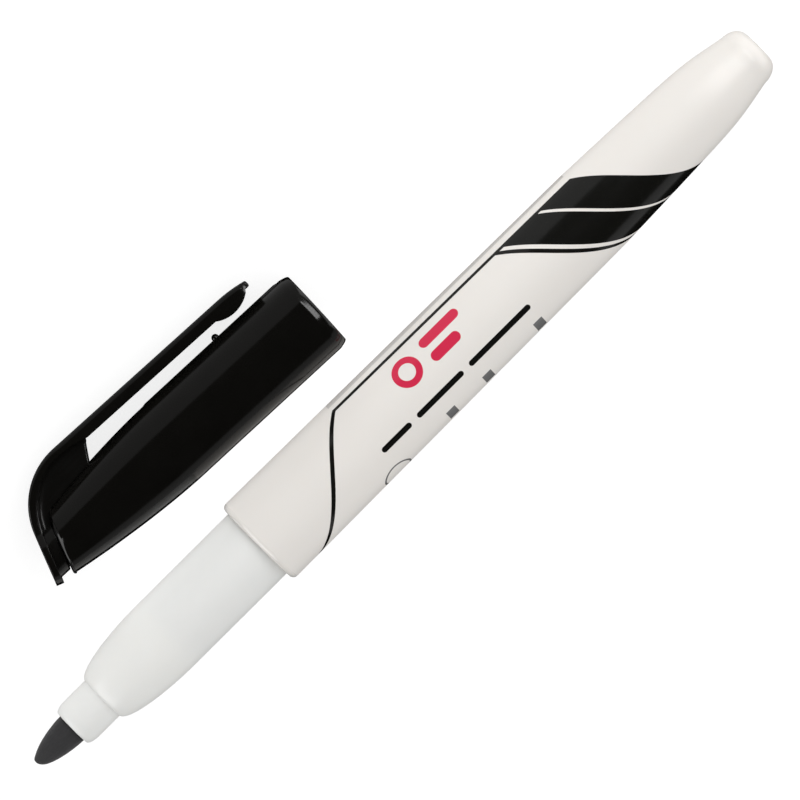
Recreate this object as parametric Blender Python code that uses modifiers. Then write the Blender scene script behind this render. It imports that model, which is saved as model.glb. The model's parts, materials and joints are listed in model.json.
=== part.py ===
"""A whiteboard marker with its cap off: the marker lies on the floor and the cap lies beside it.

Metres, +Z up. The marker's axis runs along X, its nib towards -X and its tail towards +X.
The origin is on the floor, under the middle of the whole object's box.
"""

import math

import bmesh
import bpy
from mathutils import Vector

MM = 0.001

# Layout
BARREL_R = 6.4 * MM
STEP_X = -25.25 * MM
MARKER_Y = -10.7 * MM
CAP_R = 5.75 * MM
CAP_MOUTH_X = 1.4 * MM
CAP_MOUTH_Y = 6.07 * MM
CAP_TURN = math.radians(2.3)
CLIP_DROP = math.radians(23.0)

# How the solids are divided and how near neighbours sit
SEGMENTS = 40
PUSH_GAP = 0.15 * MM
MERGE = 0.000001

# Barrel: heights run along the marker towards its tail, from a level just ahead of the step
BARREL_LENGTH = 89.3 * MM
BARREL_FRONT = 0.42 * MM
BARREL_EDGE = 0.7 * MM
BARREL_SHOULDER = 60.0 * MM
BARREL_SHOULDER_R = 5.92 * MM
TAIL_TAPER = 75.0 * MM
TAIL_TAPER_R = 5.35 * MM
TAIL_CURVE = 81.0 * MM
TAIL_CURVE_R = 4.95 * MM
TAIL_EDGE = 86.8 * MM
TAIL_EDGE_R = 3.95 * MM
TAIL_FACE_R = 2.1 * MM
TAIL_FLOOR = 79.5 * MM
SOCKET_DEPTH = 14.4 * MM
BORE_R = 4.9 * MM
BORE_END_R = 3.9 * MM

# Front section: heights from the same level, negative towards the collar and nib
SECTION_R = 5.25 * MM
SKIRT_DEPTH = 14.0 * MM
SHOULDER_FRONT = -27.15 * MM
SHOULDER_LENGTH = 11.5 * MM
SHOULDER_FRONT_R = 3.25 * MM
SHOULDER_START = math.radians(5.0)
COLLAR_R = 3.12 * MM
COLLAR_FRONT = -32.5 * MM
COLLAR_NOSE = 1.7 * MM
COLLAR_NOSE_R = 2.55 * MM
CHAMBER_R = 4.65 * MM
CHAMBER_FRONT = -15.0 * MM

# Nib, reservoir and its film sleeve
NIB_R = 2.15 * MM
NIB_TIP = -38.8 * MM
NIB_TIP_R = 0.15 * MM
NIB_CURVE = 1.7
NIB_BLUNTNESS = 0.55
NIB_BACK = -6.0 * MM
RESERVOIR_R = 4.15 * MM
RESERVOIR_FRONT = -13.5 * MM
RESERVOIR_BACK = 78.0 * MM
NIB_SOCKET = 8.5 * MM
FILM = 0.2 * MM
FILM_BACK = 65.0 * MM

# Cap: heights run from its mouth (0) down to its closed end
CAP_LENGTH = 47.5 * MM
CAP_BORE_R = 5.35 * MM
CAP_STRAIGHT = 24.8 * MM
CAP_TAPER_LENGTH = 18.2 * MM
CAP_TAPER_DROP = 1.63 * MM
CAP_TAPER_POWER = 1.7
CAP_END_WALL = 0.75 * MM
CAP_LIP = 1.15 * MM
CAP_LIP_DROP = 0.32 * MM
SLANT = math.radians(19.0)
TUBE_END = -43.65 * MM
PLUG_R = 2.8 * MM
PLUG_TOP = -41.6 * MM
END_WALL_TOP = -41.2 * MM
BEAD_R = 0.53 * MM
BEAD_FROM_MOUTH = 11.9 * MM

# Inner cap: the liner that seals round the collar
LINER_FRONT = -27.5 * MM
LINER_BACK = -40.5 * MM
LINER_FLOOR = 0.7 * MM
LINER_BORE_R = 3.22 * MM
LINER_R = 4.45 * MM

# Clip: distances from the cap's axis
CLIP_OUT = 9.5 * MM
CLIP_THICK = 1.8 * MM
CLIP_WIDTH = 4.4 * MM
CORNER_R = 9.4 * MM
CORNER_TOP = -36.4 * MM
STRAP_THICK = 1.2 * MM
WEB_WIDTH = 3.0 * MM
PLATE_R = 3.5 * MM
PLATE_THICK = 1.0 * MM
CORE_R = 3.1 * MM
SLOT_FOOT = 5.0 * MM
SLOT_END = -34.2 * MM
SLOT_TOP = -32.3 * MM
SPLIT = -31.9 * MM
FLEX_GAP = 0.3 * MM
ARM_LEAN = math.radians(0.7)
CLIP_TIP = -4.3 * MM
TIP_BEND = -8.5 * MM
TIP_DROP = 0.45 * MM
TIP_INSIDE = 7.85 * MM
PAD_CREST = 6.6 * MM
PAD_CENTRE = -7.95 * MM
PAD_R = 4.5 * MM
PAD_START = -10.45 * MM
PAD_END = -5.0 * MM


def clear_scene():
    for obj in list(bpy.data.objects):
        bpy.data.objects.remove(obj, do_unlink=True)


def new_collection(name):
    collection = bpy.data.collections.new(name)
    bpy.context.scene.collection.children.link(collection)
    return collection


def new_material(name, colour, roughness):
    material = bpy.data.materials.new(name)
    material.use_nodes = True
    shader = material.node_tree.nodes["Principled BSDF"]
    shader.inputs["Base Color"].default_value = (*colour, 1.0)
    shader.inputs["Roughness"].default_value = roughness
    shader.inputs["Metallic"].default_value = 0.0
    return material


def new_axis(name, location, collection):
    """An empty whose Z runs along the axis of the pieces under it."""
    axis = bpy.data.objects.new(name, None)
    axis.location = location
    axis.empty_display_size = 5 * MM
    collection.objects.link(axis)
    return axis


def place(name, mesh, parent, collection, material=None):
    obj = bpy.data.objects.new(name, mesh)
    obj.parent = parent
    collection.objects.link(obj)
    if material:
        mesh.materials.append(material)
    return obj


def hide_helper(obj):
    obj.hide_render = True
    obj.display_type = "WIRE"


def turned(name, profile, parent, collection, material=None):
    """A solid turned round Z from (radius, height) points that run down outside and up inside."""
    on_axis = profile[0][0] == 0 and profile[-1][0] == 0
    mesh = bpy.data.meshes.new(name)
    points = [(radius, 0, height) for radius, height in profile]
    edges = [(i, i + 1) for i in range(len(points) - 1)]
    if not on_axis:
        edges.append((len(points) - 1, 0))
    mesh.from_pydata(points, edges, [])
    obj = place(name, mesh, parent, collection, material)
    screw = obj.modifiers.new("turn", "SCREW")
    screw.axis = "Z"
    screw.steps = SEGMENTS
    screw.render_steps = SEGMENTS
    screw.use_merge_vertices = True
    screw.merge_threshold = MERGE
    screw.use_smooth_shade = True
    return obj


def extruded(name, outline, width, parent, collection, material=None, along="Y"):
    """A flat outline given the width, centred. Along Y its points are (x, z); along Z they are (x, y)."""
    shape = bmesh.new()
    if along == "Y":
        corners = [shape.verts.new((a, -width / 2, b)) for a, b in outline]
        step = (0, width, 0)
    else:
        corners = [shape.verts.new((a, b, -width / 2)) for a, b in outline]
        step = (0, 0, width)
    face = shape.faces.new(corners)
    grown = bmesh.ops.extrude_face_region(shape, geom=[face])
    moved = [item for item in grown["geom"] if isinstance(item, bmesh.types.BMVert)]
    bmesh.ops.translate(shape, verts=moved, vec=step)
    bmesh.ops.recalc_face_normals(shape, faces=shape.faces)
    mesh = bpy.data.meshes.new(name)
    shape.to_mesh(mesh)
    shape.free()
    return place(name, mesh, parent, collection, material)


def slanted_disc(name, radius, low, high, parent, collection):
    """A disc across Z whose two faces lean by SLANT, between two heights on the axis."""
    shape = bmesh.new()
    bmesh.ops.create_cone(
        shape,
        cap_ends=True,
        segments=SEGMENTS,
        radius1=radius,
        radius2=radius,
        depth=high - low,
    )
    for vert in shape.verts:
        vert.co.z += (low + high) / 2 + vert.co.x * math.tan(SLANT)
    mesh = bpy.data.meshes.new(name)
    shape.to_mesh(mesh)
    shape.free()
    return place(name, mesh, parent, collection)


def combine(obj, other, operation):
    boolean = obj.modifiers.new(other.name, "BOOLEAN")
    boolean.operation = operation
    boolean.solver = "EXACT"
    boolean.object = other
    hide_helper(other)


def arc(centre, radius, start, end, steps):
    """Points on a circle from one angle to another, both in degrees."""
    angles = [math.radians(start + (end - start) * i / steps) for i in range(steps + 1)]
    return [
        (centre[0] + radius * math.cos(angle), centre[1] + radius * math.sin(angle))
        for angle in angles
    ]


def spread(first, last, steps):
    return [first + (last - first) * i / steps for i in range(steps + 1)]


def smooth(points, steps):
    """A smooth line through (radius, height) points, with that many steps between each two."""
    ends = [points[0]] + list(points) + [points[-1]]
    line = []
    for i in range(1, len(ends) - 2):
        before, start, end, after = (Vector(point) for point in ends[i - 1 : i + 3])
        length = (end - start).length
        leave = (end - before) / ((end - before).length or 1) * length
        arrive = (after - start) / ((after - start).length or 1) * length
        for step in range(steps):
            t = step / steps
            point = (
                start * (1 - 3 * t**2 + 2 * t**3)
                + end * (3 * t**2 - 2 * t**3)
                + leave * (t - 2 * t**2 + t**3)
                + arrive * (t**3 - t**2)
            )
            line.append(tuple(point))
    return line + [points[-1]]


def barrel_side():
    """The barrel's side, tail to step: a rounded end, a quick taper, then a slow straight one."""
    end_run = BARREL_LENGTH - TAIL_EDGE
    end_rise = TAIL_EDGE_R - TAIL_FACE_R
    rounding = [
        (
            TAIL_FACE_R + end_rise * math.sin(math.radians(angle)),
            TAIL_EDGE + end_run * math.cos(math.radians(angle)),
        )
        for angle in spread(0, 75, 4)
    ]
    taper = smooth(
        [
            (TAIL_EDGE_R, TAIL_EDGE),
            (TAIL_CURVE_R, TAIL_CURVE),
            (TAIL_TAPER_R, TAIL_TAPER),
            (BARREL_SHOULDER_R, BARREL_SHOULDER),
        ],
        2,
    )
    return rounding + taper


def make_barrel(parent, collection, material):
    edge_centre = (BARREL_R - BARREL_EDGE, BARREL_FRONT + BARREL_EDGE)
    edge = arc(edge_centre, BARREL_EDGE, 0, -90, 4)
    socket_r = SECTION_R + PUSH_GAP
    inside = [
        (socket_r, BARREL_FRONT),
        (socket_r, SOCKET_DEPTH),
        (BORE_R, SOCKET_DEPTH),
        (BORE_R, BARREL_SHOULDER),
        (BORE_END_R, TAIL_FLOOR),
        (0, TAIL_FLOOR),
    ]
    profile = [(0, BARREL_LENGTH)] + barrel_side() + edge + inside
    return turned("barrel", profile, parent, collection, material)


def shoulder():
    """The front section's round shoulder, from its full width forward to its sharp front edge."""
    rise = SECTION_R - SHOULDER_FRONT_R
    angles = spread(math.pi / 2, SHOULDER_START, 8)
    low = math.sin(SHOULDER_START)
    back = SHOULDER_FRONT + SHOULDER_LENGTH
    return [
        (
            SHOULDER_FRONT_R + rise * (math.sin(angle) - low) / (1 - low),
            back - SHOULDER_LENGTH * math.cos(angle) / math.cos(SHOULDER_START),
        )
        for angle in angles
    ]


def make_front_section(parent, collection, material):
    guide_r = NIB_R + PUSH_GAP
    outside = [(SECTION_R - 0.3 * MM, SKIRT_DEPTH), (SECTION_R, SKIRT_DEPTH - 0.6 * MM)]
    nose = [
        (
            COLLAR_NOSE_R + (COLLAR_R - COLLAR_NOSE_R) * math.cos(math.radians(angle)),
            COLLAR_FRONT + COLLAR_NOSE * (1 - math.sin(math.radians(angle))),
        )
        for angle in spread(0, 90, 4)
    ]
    inside = [
        (guide_r, COLLAR_FRONT),
        (guide_r, CHAMBER_FRONT - 1.2 * MM),
        (CHAMBER_R, CHAMBER_FRONT),
        (CHAMBER_R, SKIRT_DEPTH),
    ]
    profile = outside + shoulder() + [(COLLAR_R, SHOULDER_FRONT)] + nose + inside
    return turned("front_section", profile, parent, collection, material)


def make_nib(parent, collection, material):
    """A fibre rod with a bullet tip. Its tapered rear end stands in the reservoir."""
    tip_length = COLLAR_FRONT - NIB_TIP
    profile = [(0, NIB_BACK), (NIB_R * 0.6, NIB_BACK), (NIB_R, NIB_BACK - 4 * MM)]
    for share in (0, 0.18, 0.36, 0.54, 0.7, 0.82, 0.91, 0.97, 1):
        height = COLLAR_FRONT - tip_length * share
        radius = NIB_TIP_R + (NIB_R - NIB_TIP_R) * (1 - share**NIB_CURVE) ** NIB_BLUNTNESS
        profile.append((radius, height))
    profile.append((0, NIB_TIP))
    return turned("nib", profile, parent, collection, material)


def make_reservoir(parent, collection, material):
    socket_r = NIB_R + PUSH_GAP
    socket_end = RESERVOIR_FRONT + NIB_SOCKET
    profile = [
        (0, RESERVOIR_BACK),
        (BORE_END_R - PUSH_GAP, RESERVOIR_BACK),
        (RESERVOIR_R, RESERVOIR_BACK - 6 * MM),
        (RESERVOIR_R, RESERVOIR_FRONT),
        (socket_r, RESERVOIR_FRONT),
        (socket_r, socket_end - 1 * MM),
        (0, socket_end),
    ]
    return turned("ink_reservoir", profile, parent, collection, material)


def make_wrap(parent, collection, material):
    inner = RESERVOIR_R + FILM / 2
    profile = [
        (inner + FILM, FILM_BACK),
        (inner + FILM, RESERVOIR_FRONT),
        (inner, RESERVOIR_FRONT),
        (inner, FILM_BACK),
    ]
    return turned("reservoir_wrap", profile, parent, collection, material)


def cap_radius(height):
    """Outer radius: straight behind the mouth, then a curved taper to the closed end."""
    run = max(0, -height - CAP_STRAIGHT)
    return CAP_R - CAP_TAPER_DROP * (run / CAP_TAPER_LENGTH) ** CAP_TAPER_POWER


def cap_bore(height):
    """Inner radius: the wall is thin where the front section enters and thicker in the taper."""
    run = max(0, -height - CAP_STRAIGHT)
    wall = (CAP_R - CAP_BORE_R) + (CAP_END_WALL - CAP_R + CAP_BORE_R) * min(1, run / (8 * MM))
    return cap_radius(height) - wall


def cap_outline(grow, low):
    """The outside of the tube, mouth to closed end, larger by grow."""
    heights = spread(-CAP_STRAIGHT, low, 9)
    return [(cap_radius(height) + grow, height) for height in heights]


def make_cap_tube(parent, collection, cutters, material):
    below = -CAP_LENGTH - 1 * MM
    lip = [
        (
            CAP_R - CAP_LIP_DROP + CAP_LIP_DROP * math.sin(math.radians(angle)),
            -CAP_LIP + CAP_LIP * math.cos(math.radians(angle)),
        )
        for angle in spread(0, 90, 4)
    ]
    hole_r = PLUG_R + PUSH_GAP
    bore = [(cap_bore(height), height) for height in spread(END_WALL_TOP, -CAP_STRAIGHT, 6)]
    inside = [(hole_r, below), (hole_r, END_WALL_TOP)] + bore + [(CAP_BORE_R, 0)]
    profile = lip + cap_outline(0, below) + inside
    tube = turned("cap_tube", profile, parent, collection, material)

    slant_cutter = slanted_disc("end_cutter", 9 * MM, TUBE_END - 12 * MM, TUBE_END, parent, cutters)
    combine(tube, slant_cutter, "DIFFERENCE")

    bead_mesh = bpy.data.meshes.new("bead")
    shape = bmesh.new()
    bmesh.ops.create_uvsphere(shape, u_segments=12, v_segments=8, radius=BEAD_R)
    shape.to_mesh(bead_mesh)
    shape.free()
    bead = place("bead", bead_mesh, parent, cutters)
    bead.location = (CAP_R + 0.1 * MM, 0, -BEAD_FROM_MOUTH)
    combine(tube, bead, "UNION")
    return tube


def make_inner_cap(parent, collection, material):
    taper = [
        (min(LINER_R, cap_bore(height) - PUSH_GAP), height)
        for height in spread(LINER_FRONT, LINER_BACK, 6)
    ]
    floor = LINER_BACK + LINER_FLOOR
    inside = [(0, floor), (LINER_BORE_R, floor), (LINER_BORE_R, LINER_FRONT)]
    profile = inside + taper + [(0, LINER_BACK)]
    return turned("inner_cap", profile, parent, collection, material)


def arm_out(height):
    """The arm's outer edge: it leans in towards the tube, and bends further in near its tip."""
    lean = math.tan(ARM_LEAN) * (height - CORNER_TOP)
    bend = max(0, height - TIP_BEND) / (CLIP_TIP - TIP_BEND)
    return CLIP_OUT - lean - TIP_DROP * bend**2


def strap_outline():
    """Side view of the end plate and the strap that turns the corner from it into the clip."""
    centre = (CLIP_OUT - CORNER_R, CORNER_TOP)
    lean = math.degrees(SLANT)
    outer = arc(centre, CORNER_R, 0, -90 + lean, 10)
    inner = arc(centre, CORNER_R - STRAP_THICK, -90 + lean, 0, 10)
    heel = (-PLATE_R, outer[-1][1] - (outer[-1][0] + PLATE_R) * math.tan(SLANT))
    heel_inside = (heel[0], heel[1] + PLATE_THICK / math.cos(SLANT))
    arm = [(arm_out(SPLIT) - CLIP_THICK, SPLIT), (arm_out(SPLIT), SPLIT)]
    return outer + [heel, heel_inside] + inner + [(arm_out(SLOT_TOP) - CLIP_THICK, SLOT_TOP)] + arm


def end_view_outline():
    """End view of the plate and strap: a disc whose clip side narrows to the clip's width."""
    half = CLIP_WIDTH / 2
    start = math.degrees(math.asin(half / PLATE_R)) + 14
    disc = arc((0, 0), PLATE_R * 1.02, start, 360 - start, SEGMENTS)
    neck = disc[0][0] + 2.6 * MM
    return disc + [(neck, -half), (CLIP_OUT + 1 * MM, -half), (CLIP_OUT + 1 * MM, half), (neck, half)]


def web_outline():
    """Side view of the thinner web between the strap and the tube."""
    centre = (CLIP_OUT - CORNER_R, CORNER_TOP)
    lean = math.degrees(SLANT)
    under_strap = arc(centre, CORNER_R - STRAP_THICK / 2, 0, -90 + lean, 10)
    slot = [
        (1 * MM, SLOT_END - 1 * MM),
        (SLOT_FOOT, SLOT_END),
        (arm_out(SLOT_TOP) - CLIP_THICK + 0.3 * MM, SLOT_TOP),
    ]
    foot = (1 * MM, under_strap[-1][1] - (under_strap[-1][0] - 1 * MM) * math.tan(SLANT))
    return under_strap + [foot] + slot + [(CLIP_OUT - STRAP_THICK / 2, SLOT_TOP)]


def make_clip_root(parent, collection, cutters, material):
    """The clip moulding's foot: end plate, core and plug in the tube's end, and the web and strap."""
    root = extruded("clip_root", web_outline(), WEB_WIDTH, parent, collection, material)

    clearance = cap_outline(PUSH_GAP, -CAP_LENGTH - 1 * MM)
    profile = [(0, 0), (CAP_R + PUSH_GAP, 0)] + clearance + [(0, clearance[-1][1])]
    tube_space = turned("tube_space", profile, parent, cutters)
    space_end = slanted_disc("space_end", 9 * MM, TUBE_END - 12 * MM, TUBE_END - PUSH_GAP, parent, cutters)
    combine(tube_space, space_end, "DIFFERENCE")
    combine(root, tube_space, "DIFFERENCE")

    strap = extruded("strap", strap_outline(), 3 * PLATE_R, parent, cutters)
    end_view = extruded("end_view", end_view_outline(), 3 * CAP_LENGTH, parent, cutters, along="Z")
    combine(strap, end_view, "INTERSECT")
    combine(root, strap, "UNION")

    outer_plane = strap_outline()[10][1] - strap_outline()[10][0] * math.tan(SLANT)
    core_low = outer_plane + PLATE_THICK / 2
    core = slanted_disc("core", CORE_R, core_low, TUBE_END - PUSH_GAP, parent, cutters)
    combine(root, core, "UNION")

    plug_profile = [(0, PLUG_TOP), (PLUG_R, PLUG_TOP), (PLUG_R, core_low + 1.4 * MM), (0, core_low + 1.4 * MM)]
    plug = turned("plug", plug_profile, parent, cutters)
    combine(root, plug, "UNION")
    return root


def arm_outline():
    """Side view of the clip arm: straight, with a round pad inside and a thin lip at the tip."""
    start = SPLIT + FLEX_GAP
    pad = [
        (PAD_CREST + PAD_R - math.sqrt(PAD_R**2 - (height - PAD_CENTRE) ** 2), height)
        for height in spread(PAD_START, PAD_END, 8)
    ]
    outer_end = [(arm_out(height), height) for height in spread(CLIP_TIP, TIP_BEND, 4)]
    inside = [(arm_out(start) - CLIP_THICK, start)] + pad + [(TIP_INSIDE, CLIP_TIP)]
    return inside + outer_end + [(arm_out(start), start)]


def make_clip_arm(parent, collection, material):
    """The flexing arm. Its origin is on the line that it flexes about."""
    hinge_z = SPLIT + FLEX_GAP / 2
    hinge_x = arm_out(hinge_z) - CLIP_THICK / 2
    outline = [(x - hinge_x, z - hinge_z) for x, z in arm_outline()]
    arm = extruded("clip_arm", outline, CLIP_WIDTH, parent, collection, material)
    arm.location = (hinge_x, 0, hinge_z)
    return arm


def main():
    clear_scene()
    pieces = new_collection("whiteboard_marker")
    cutters = new_collection("cutters")

    marker_axis = new_axis("marker_axis", (STEP_X, MARKER_Y, BARREL_R), pieces)
    marker_axis.rotation_euler = (0, math.pi / 2, 0)
    cap_axis = new_axis("cap_axis", (CAP_MOUTH_X, CAP_MOUTH_Y, CAP_R), pieces)
    cap_axis.rotation_mode = "YXZ"
    cap_axis.rotation_euler = (math.pi / 2 - CLIP_DROP, math.pi / 2, -CAP_TURN)

    warm_white = new_material("warm_white_plastic", (0.80, 0.77, 0.70), 0.38)
    natural = new_material("natural_plastic", (0.78, 0.77, 0.73), 0.45)
    black = new_material("black_plastic", (0.006, 0.006, 0.005), 0.22)
    felt = new_material("black_felt", (0.018, 0.018, 0.02), 0.95)
    ink_fibre = new_material("ink_fibre", (0.03, 0.03, 0.035), 0.9)
    film = new_material("clear_film", (0.7, 0.72, 0.74), 0.2)
    liner = new_material("liner_plastic", (0.62, 0.62, 0.60), 0.5)

    make_barrel(marker_axis, pieces, warm_white)
    make_front_section(marker_axis, pieces, natural)
    make_nib(marker_axis, pieces, felt)
    make_reservoir(marker_axis, pieces, ink_fibre)
    make_wrap(marker_axis, pieces, film)
    make_cap_tube(cap_axis, pieces, cutters, black)
    make_inner_cap(cap_axis, pieces, liner)
    make_clip_root(cap_axis, pieces, cutters, black)
    make_clip_arm(cap_axis, pieces, black)


main()
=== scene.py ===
"""The looks of a whiteboard marker lying beside its cap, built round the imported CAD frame.

Turned pieces are drawn round their own axis, heights along it, in millimetres.
"""

import json
import math

import bmesh
import bpy
from mathutils import Matrix, Vector, noise

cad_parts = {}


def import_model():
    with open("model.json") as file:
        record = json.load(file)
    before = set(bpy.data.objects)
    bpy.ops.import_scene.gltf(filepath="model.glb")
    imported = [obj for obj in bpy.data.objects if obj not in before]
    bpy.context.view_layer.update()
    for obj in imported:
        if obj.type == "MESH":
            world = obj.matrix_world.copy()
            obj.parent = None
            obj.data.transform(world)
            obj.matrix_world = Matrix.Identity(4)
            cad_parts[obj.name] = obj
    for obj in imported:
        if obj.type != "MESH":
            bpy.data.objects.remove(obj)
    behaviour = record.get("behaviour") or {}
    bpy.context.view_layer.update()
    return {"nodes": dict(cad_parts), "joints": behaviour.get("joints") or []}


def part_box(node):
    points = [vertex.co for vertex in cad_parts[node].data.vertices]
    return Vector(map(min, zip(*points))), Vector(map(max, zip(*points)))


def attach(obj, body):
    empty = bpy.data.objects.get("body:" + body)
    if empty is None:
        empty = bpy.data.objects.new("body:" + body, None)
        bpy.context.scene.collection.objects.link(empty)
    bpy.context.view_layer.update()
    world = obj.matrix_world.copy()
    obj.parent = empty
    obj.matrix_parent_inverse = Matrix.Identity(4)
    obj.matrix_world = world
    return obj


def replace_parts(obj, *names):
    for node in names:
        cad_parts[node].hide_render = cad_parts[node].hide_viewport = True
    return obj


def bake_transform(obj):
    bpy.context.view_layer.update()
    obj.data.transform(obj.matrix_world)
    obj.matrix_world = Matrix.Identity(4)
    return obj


MM = 0.001
ROUND = 144

# Marker: heights run towards its tail, from a level just ahead of the barrel's front edge
BARREL_R = 6.4
BARREL_FRONT = 0.42
BARREL_EDGE = 0.7
BARREL_LENGTH = 89.3
# (radius, height) along its side
BARREL_SIDE = ((5.92, 60.0), (5.35, 75.0), (4.95, 81.0), (3.95, 86.8))
TAIL_FACE_R = 2.1
SOCKET_R = 5.4
SOCKET_DEPTH = 14.4
SOCKET_CHAMFER = 0.2
BORE_R = 4.9
BORE_STRAIGHT = 60.0
BORE_END_R = 3.9
BORE_ROUNDING = 0.2
TAIL_FLOOR = 79.5

# Front section
SECTION_R = 5.25
SKIRT_DEPTH = 14.0
SKIRT_CHAMFER = 0.3
SHOULDER_FRONT = -27.15
SHOULDER_LENGTH = 11.5
SHOULDER_FRONT_R = 3.25
# Degrees that are left off the shoulder's arc at its front edge
SHOULDER_START = 5.0
SHOULDER_EDGE = 0.08
COLLAR_R = 3.12
COLLAR_START = -28.0
COLLAR_FRONT = -32.5
COLLAR_NOSE = 1.7
COLLAR_NOSE_R = 2.55
GUIDE_R = 2.3
GUIDE_MOUTH = 0.1
CHAMBER_R = 4.65
CHAMBER_FRONT = -15.0
CHAMBER_CONE = 1.2

# Nib
NIB_R = 2.15
NIB_TIP = -38.8
NIB_TIP_R = 0.15
NIB_CURVE = 1.7
NIB_BLUNTNESS = 0.55
NIB_WEAR = 0.2
NIB_WEAR_HEIGHT = 0.9
NIB_BACK = -6.0
NIB_BACK_R = 0.6 * NIB_R
NIB_TAPER = 4
FELT_ACROSS = 9
FELT_ALONG = 1.5
FELT_LUMPS = 1.3

# Cap, heights from its mouth down to its closed end
CAP_R = 5.75
CAP_BORE_R = 5.35
CAP_STRAIGHT = 24.8
CAP_TAPER_LENGTH = 18.2
CAP_TAPER_DROP = 1.63
CAP_TAPER_POWER = 1.7
CAP_END_WALL = 0.75
CAP_WALL_GROWTH = 8
PUSH_GAP = 0.15
CAP_LIP = 1.15
LIP_EDGE = 0.45
LIP_SLOPE = math.tan(math.radians(15.0))
# The mouth's rim, as (distance out from the bore, depth)
RIM_OUTSIDE = ((-0.05, 0), (-0.035, 0.005), (0.035, 0.08), (0.105, 0.18), (0.165, 0.31))
RIM_INSIDE = ((0, 6), (0, 0.2), (-0.04, 0.06))
# The soft edge between the lip's cone and the tube, as (run left along the cone, depth past the lip)
LIP_END = ((0.045, 0), (0.008, 0.12))
SLANT = math.tan(math.radians(19.0))
SLANT_REACH = 9.0
TUBE_END = -43.65
END_ROUNDING = 0.45
END_WALL_TOP = -41.2
PLUG_R = 2.8
PLUG_TOP = -41.6
BEAD_R = 0.5
BEAD_RISE = 0.16
BEAD_DEPTH = 0.62
BEAD_FROM_MOUTH = 11.9
STRIP_HALF = 1.5
STRIP_RISE = 0.1
STRIP_ROWS = 12

# Inner cap
LINER_FRONT = -27.5
LINER_BACK = -40.5
LINER_FLOOR = 0.7
LINER_BORE_R = 3.22
LINER_R = 4.45
LINER_SEAL = -33.2
LINER_SEAL_HALF = 0.8
LINER_SEAL_RISE = 0.05

# Clip, distances from the cap's axis
CLIP_OUT = 9.5
CLIP_THICK = 1.8
CLIP_WIDTH = 4.4
CORNER_R = 9.4
CORNER_TOP = -36.4
STRAP_THICK = 1.2
PLATE_R = 3.5
PLATE_THICK = 1.0
PLATE_ROUNDING = 0.12
CORNER_ROUNDING = 0.6
PLATE_JOIN = 2.2
NECK_END = 4.9
CORE_R = 3.1
WEB_WIDTH = 3.0
SLOT_FOOT = 5.0
SLOT_END = -34.2
SLOT_TOP = -32.3
SPLIT = -31.9
FLEX_GAP = 0.3
ARM_ROUNDING = 0.75
INNER_ROUNDING = 0.08
CROWN = 0.12
WEB_FILLET = 0.35
WEB_FILLET_REACH = 0.9
WEB_EDGE = 0.18
WEB_EDGE_REACH = 0.25
WEB_STEPS = 56
WEB_SINK = 0.3
WEB_HEEL = -41.6
# The web's line on the core, as (distance out, height from the tube's end), and at the slot's end,
# as (distance out from the arm's inside, height from the slot's top)
WEB_FOOT = ((2.0, -0.4), (2.2, 0.35), (2.9, 1.3))
SLOT_CURL = ((-0.45, -0.45), (-0.2, -0.2), (0.15, 0), (0.5, 0.15))
ARM_LEAN = math.tan(math.radians(0.7))
CLIP_TIP = -4.3
TIP_BEND = -8.5
TIP_DROP = 0.45
TIP_INSIDE = 7.85
TIP_ROUNDING = 0.16
TIP_NARROWING = 0.35
TIP_NARROW_LENGTH = 1.6
PAD_CREST = 6.6
PAD_CENTRE = -7.95
PAD_R = 4.5
PAD_START = -10.45
PAD_END = -5.0

# Print on the barrel: x along it from the same level as the heights, and a round it from the middle
# of its printed side. Boxes are (x from, x to, a from, a to), and circles (x, a, outer radius, line).
PANEL_TOP = 6.17
PANEL_NARROWING = 0.0127
PANEL_BOTTOM = -13.0
TOP_LINE = 0.6
FRONT_X = 13.78
FRONT_SLOPE = 0.893
FRONT_LINE = 0.76
BANDS = ((52.22, 52.98), (53.73, 59.62), (60.15, 66.06))
BAND_SLOPE = 0.986
BAND_CURVE = -0.0052
WORD_BARS = ((20.2, 24.4), (26.4, 33.6), (35.6, 45.4))
WORDS_A = -3.0
WORD_HALF = 0.42
SQUARES = ((28.8, 30.3, -8.4, -6.0), (35.2, 36.7, -8.4, -6.0), (44.4, 45.9, -8.4, -5.7))
CIRCLE = (19.4, -8.4, 2.3, 0.3)
PALE_STRIP = (18.7, 60.3, 7.3, 9.8)
PALE_STRIP_SHARE = 0.35
RED_RING = (29.0, 2.1, 2.05, 0.9)
RED_BARS = ((33.1, 38.2, 3.35), (33.1, 36.4, 0.95))
RED_BAR_HALF = 0.72

# Colours. A pair is the darkest and the lightest that a surface's own variation reaches.
WARM_WHITE = ((0.80, 0.768, 0.728), (0.83, 0.80, 0.762))
NATURAL_WHITE = ((0.81, 0.81, 0.785), (0.845, 0.845, 0.82))
GLOSSY_BLACK = ((0.0028, 0.0026, 0.0022), (0.0048, 0.0045, 0.0038))
LINER_WHITE = ((0.60, 0.60, 0.57), (0.68, 0.68, 0.65))
FILM_GREY = ((0.62, 0.64, 0.66), (0.75, 0.77, 0.79))
NIB_BLACK = ((0.010, 0.010, 0.011), (0.032, 0.031, 0.033))
INKED_FIBRE = ((0.012, 0.012, 0.015), (0.05, 0.05, 0.06))
FLOOR_GREY = ((0.28, 0.28, 0.28), (0.32, 0.32, 0.32))
BLACK_INK = (0.006, 0.006, 0.005)
GREY_INK = (0.16, 0.16, 0.16)
RED_INK = (0.66, 0.024, 0.075)

# Camera
VIEW_ROLL = math.radians(44.84)
VIEW_WIDTH = 100.8 * MM
VIEW_DISTANCE = 1.2
VIEW_ALONG = 25.9 * MM
VIEW_ACROSS = 0.18 * MM
SENSOR = 36.0

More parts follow.
